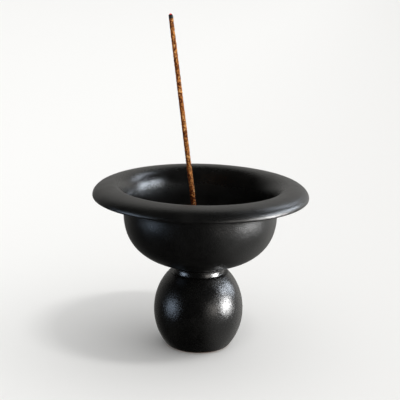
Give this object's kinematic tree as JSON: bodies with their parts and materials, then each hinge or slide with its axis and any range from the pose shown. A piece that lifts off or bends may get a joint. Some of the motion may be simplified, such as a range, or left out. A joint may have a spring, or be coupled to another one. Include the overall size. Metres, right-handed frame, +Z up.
{
  "type": "incense burner",
  "caption": "Pedestal incense burner in satin black stoneware: deep bowl with a wide rolled lip on a hollow ball foot, with a leaning incense stick that lifts out.",
  "frame": {"origin": "centre of the flat sole that the ball foot rests on", "axes": "+Z up along the clay's turning axis; the stick leans towards -X"},
  "size_m": [0.14, 0.14, 0.2177],
  "materials": {
    "black_glaze": "satin, faintly speckled",
    "glazed_slip": "satin",
    "bamboo": "matte",
    "incense_paste": "matte, granular",
    "charcoal": "matte",
    "ember": "glowing"
  },
  "bodies": {
    "burner": {"bowl": "black_glaze", "rolled_lip": "black_glaze", "neck_plug": "black_glaze", "ball_foot": "black_glaze", "upper_slip_bead": "glazed_slip", "lower_slip_bead": "glazed_slip"},
    "stick": {"bamboo_core": "bamboo", "incense_coat": "incense_paste", "charred_tip": "charcoal", "ember": "ember"}
  },
  "joints": [
    {"name": "stick_lift", "type": "slide", "parent": "burner", "child": "stick", "axis": [-0.1357, 0, 0.9907], "range_m": [0, 0.1]}
  ]
}
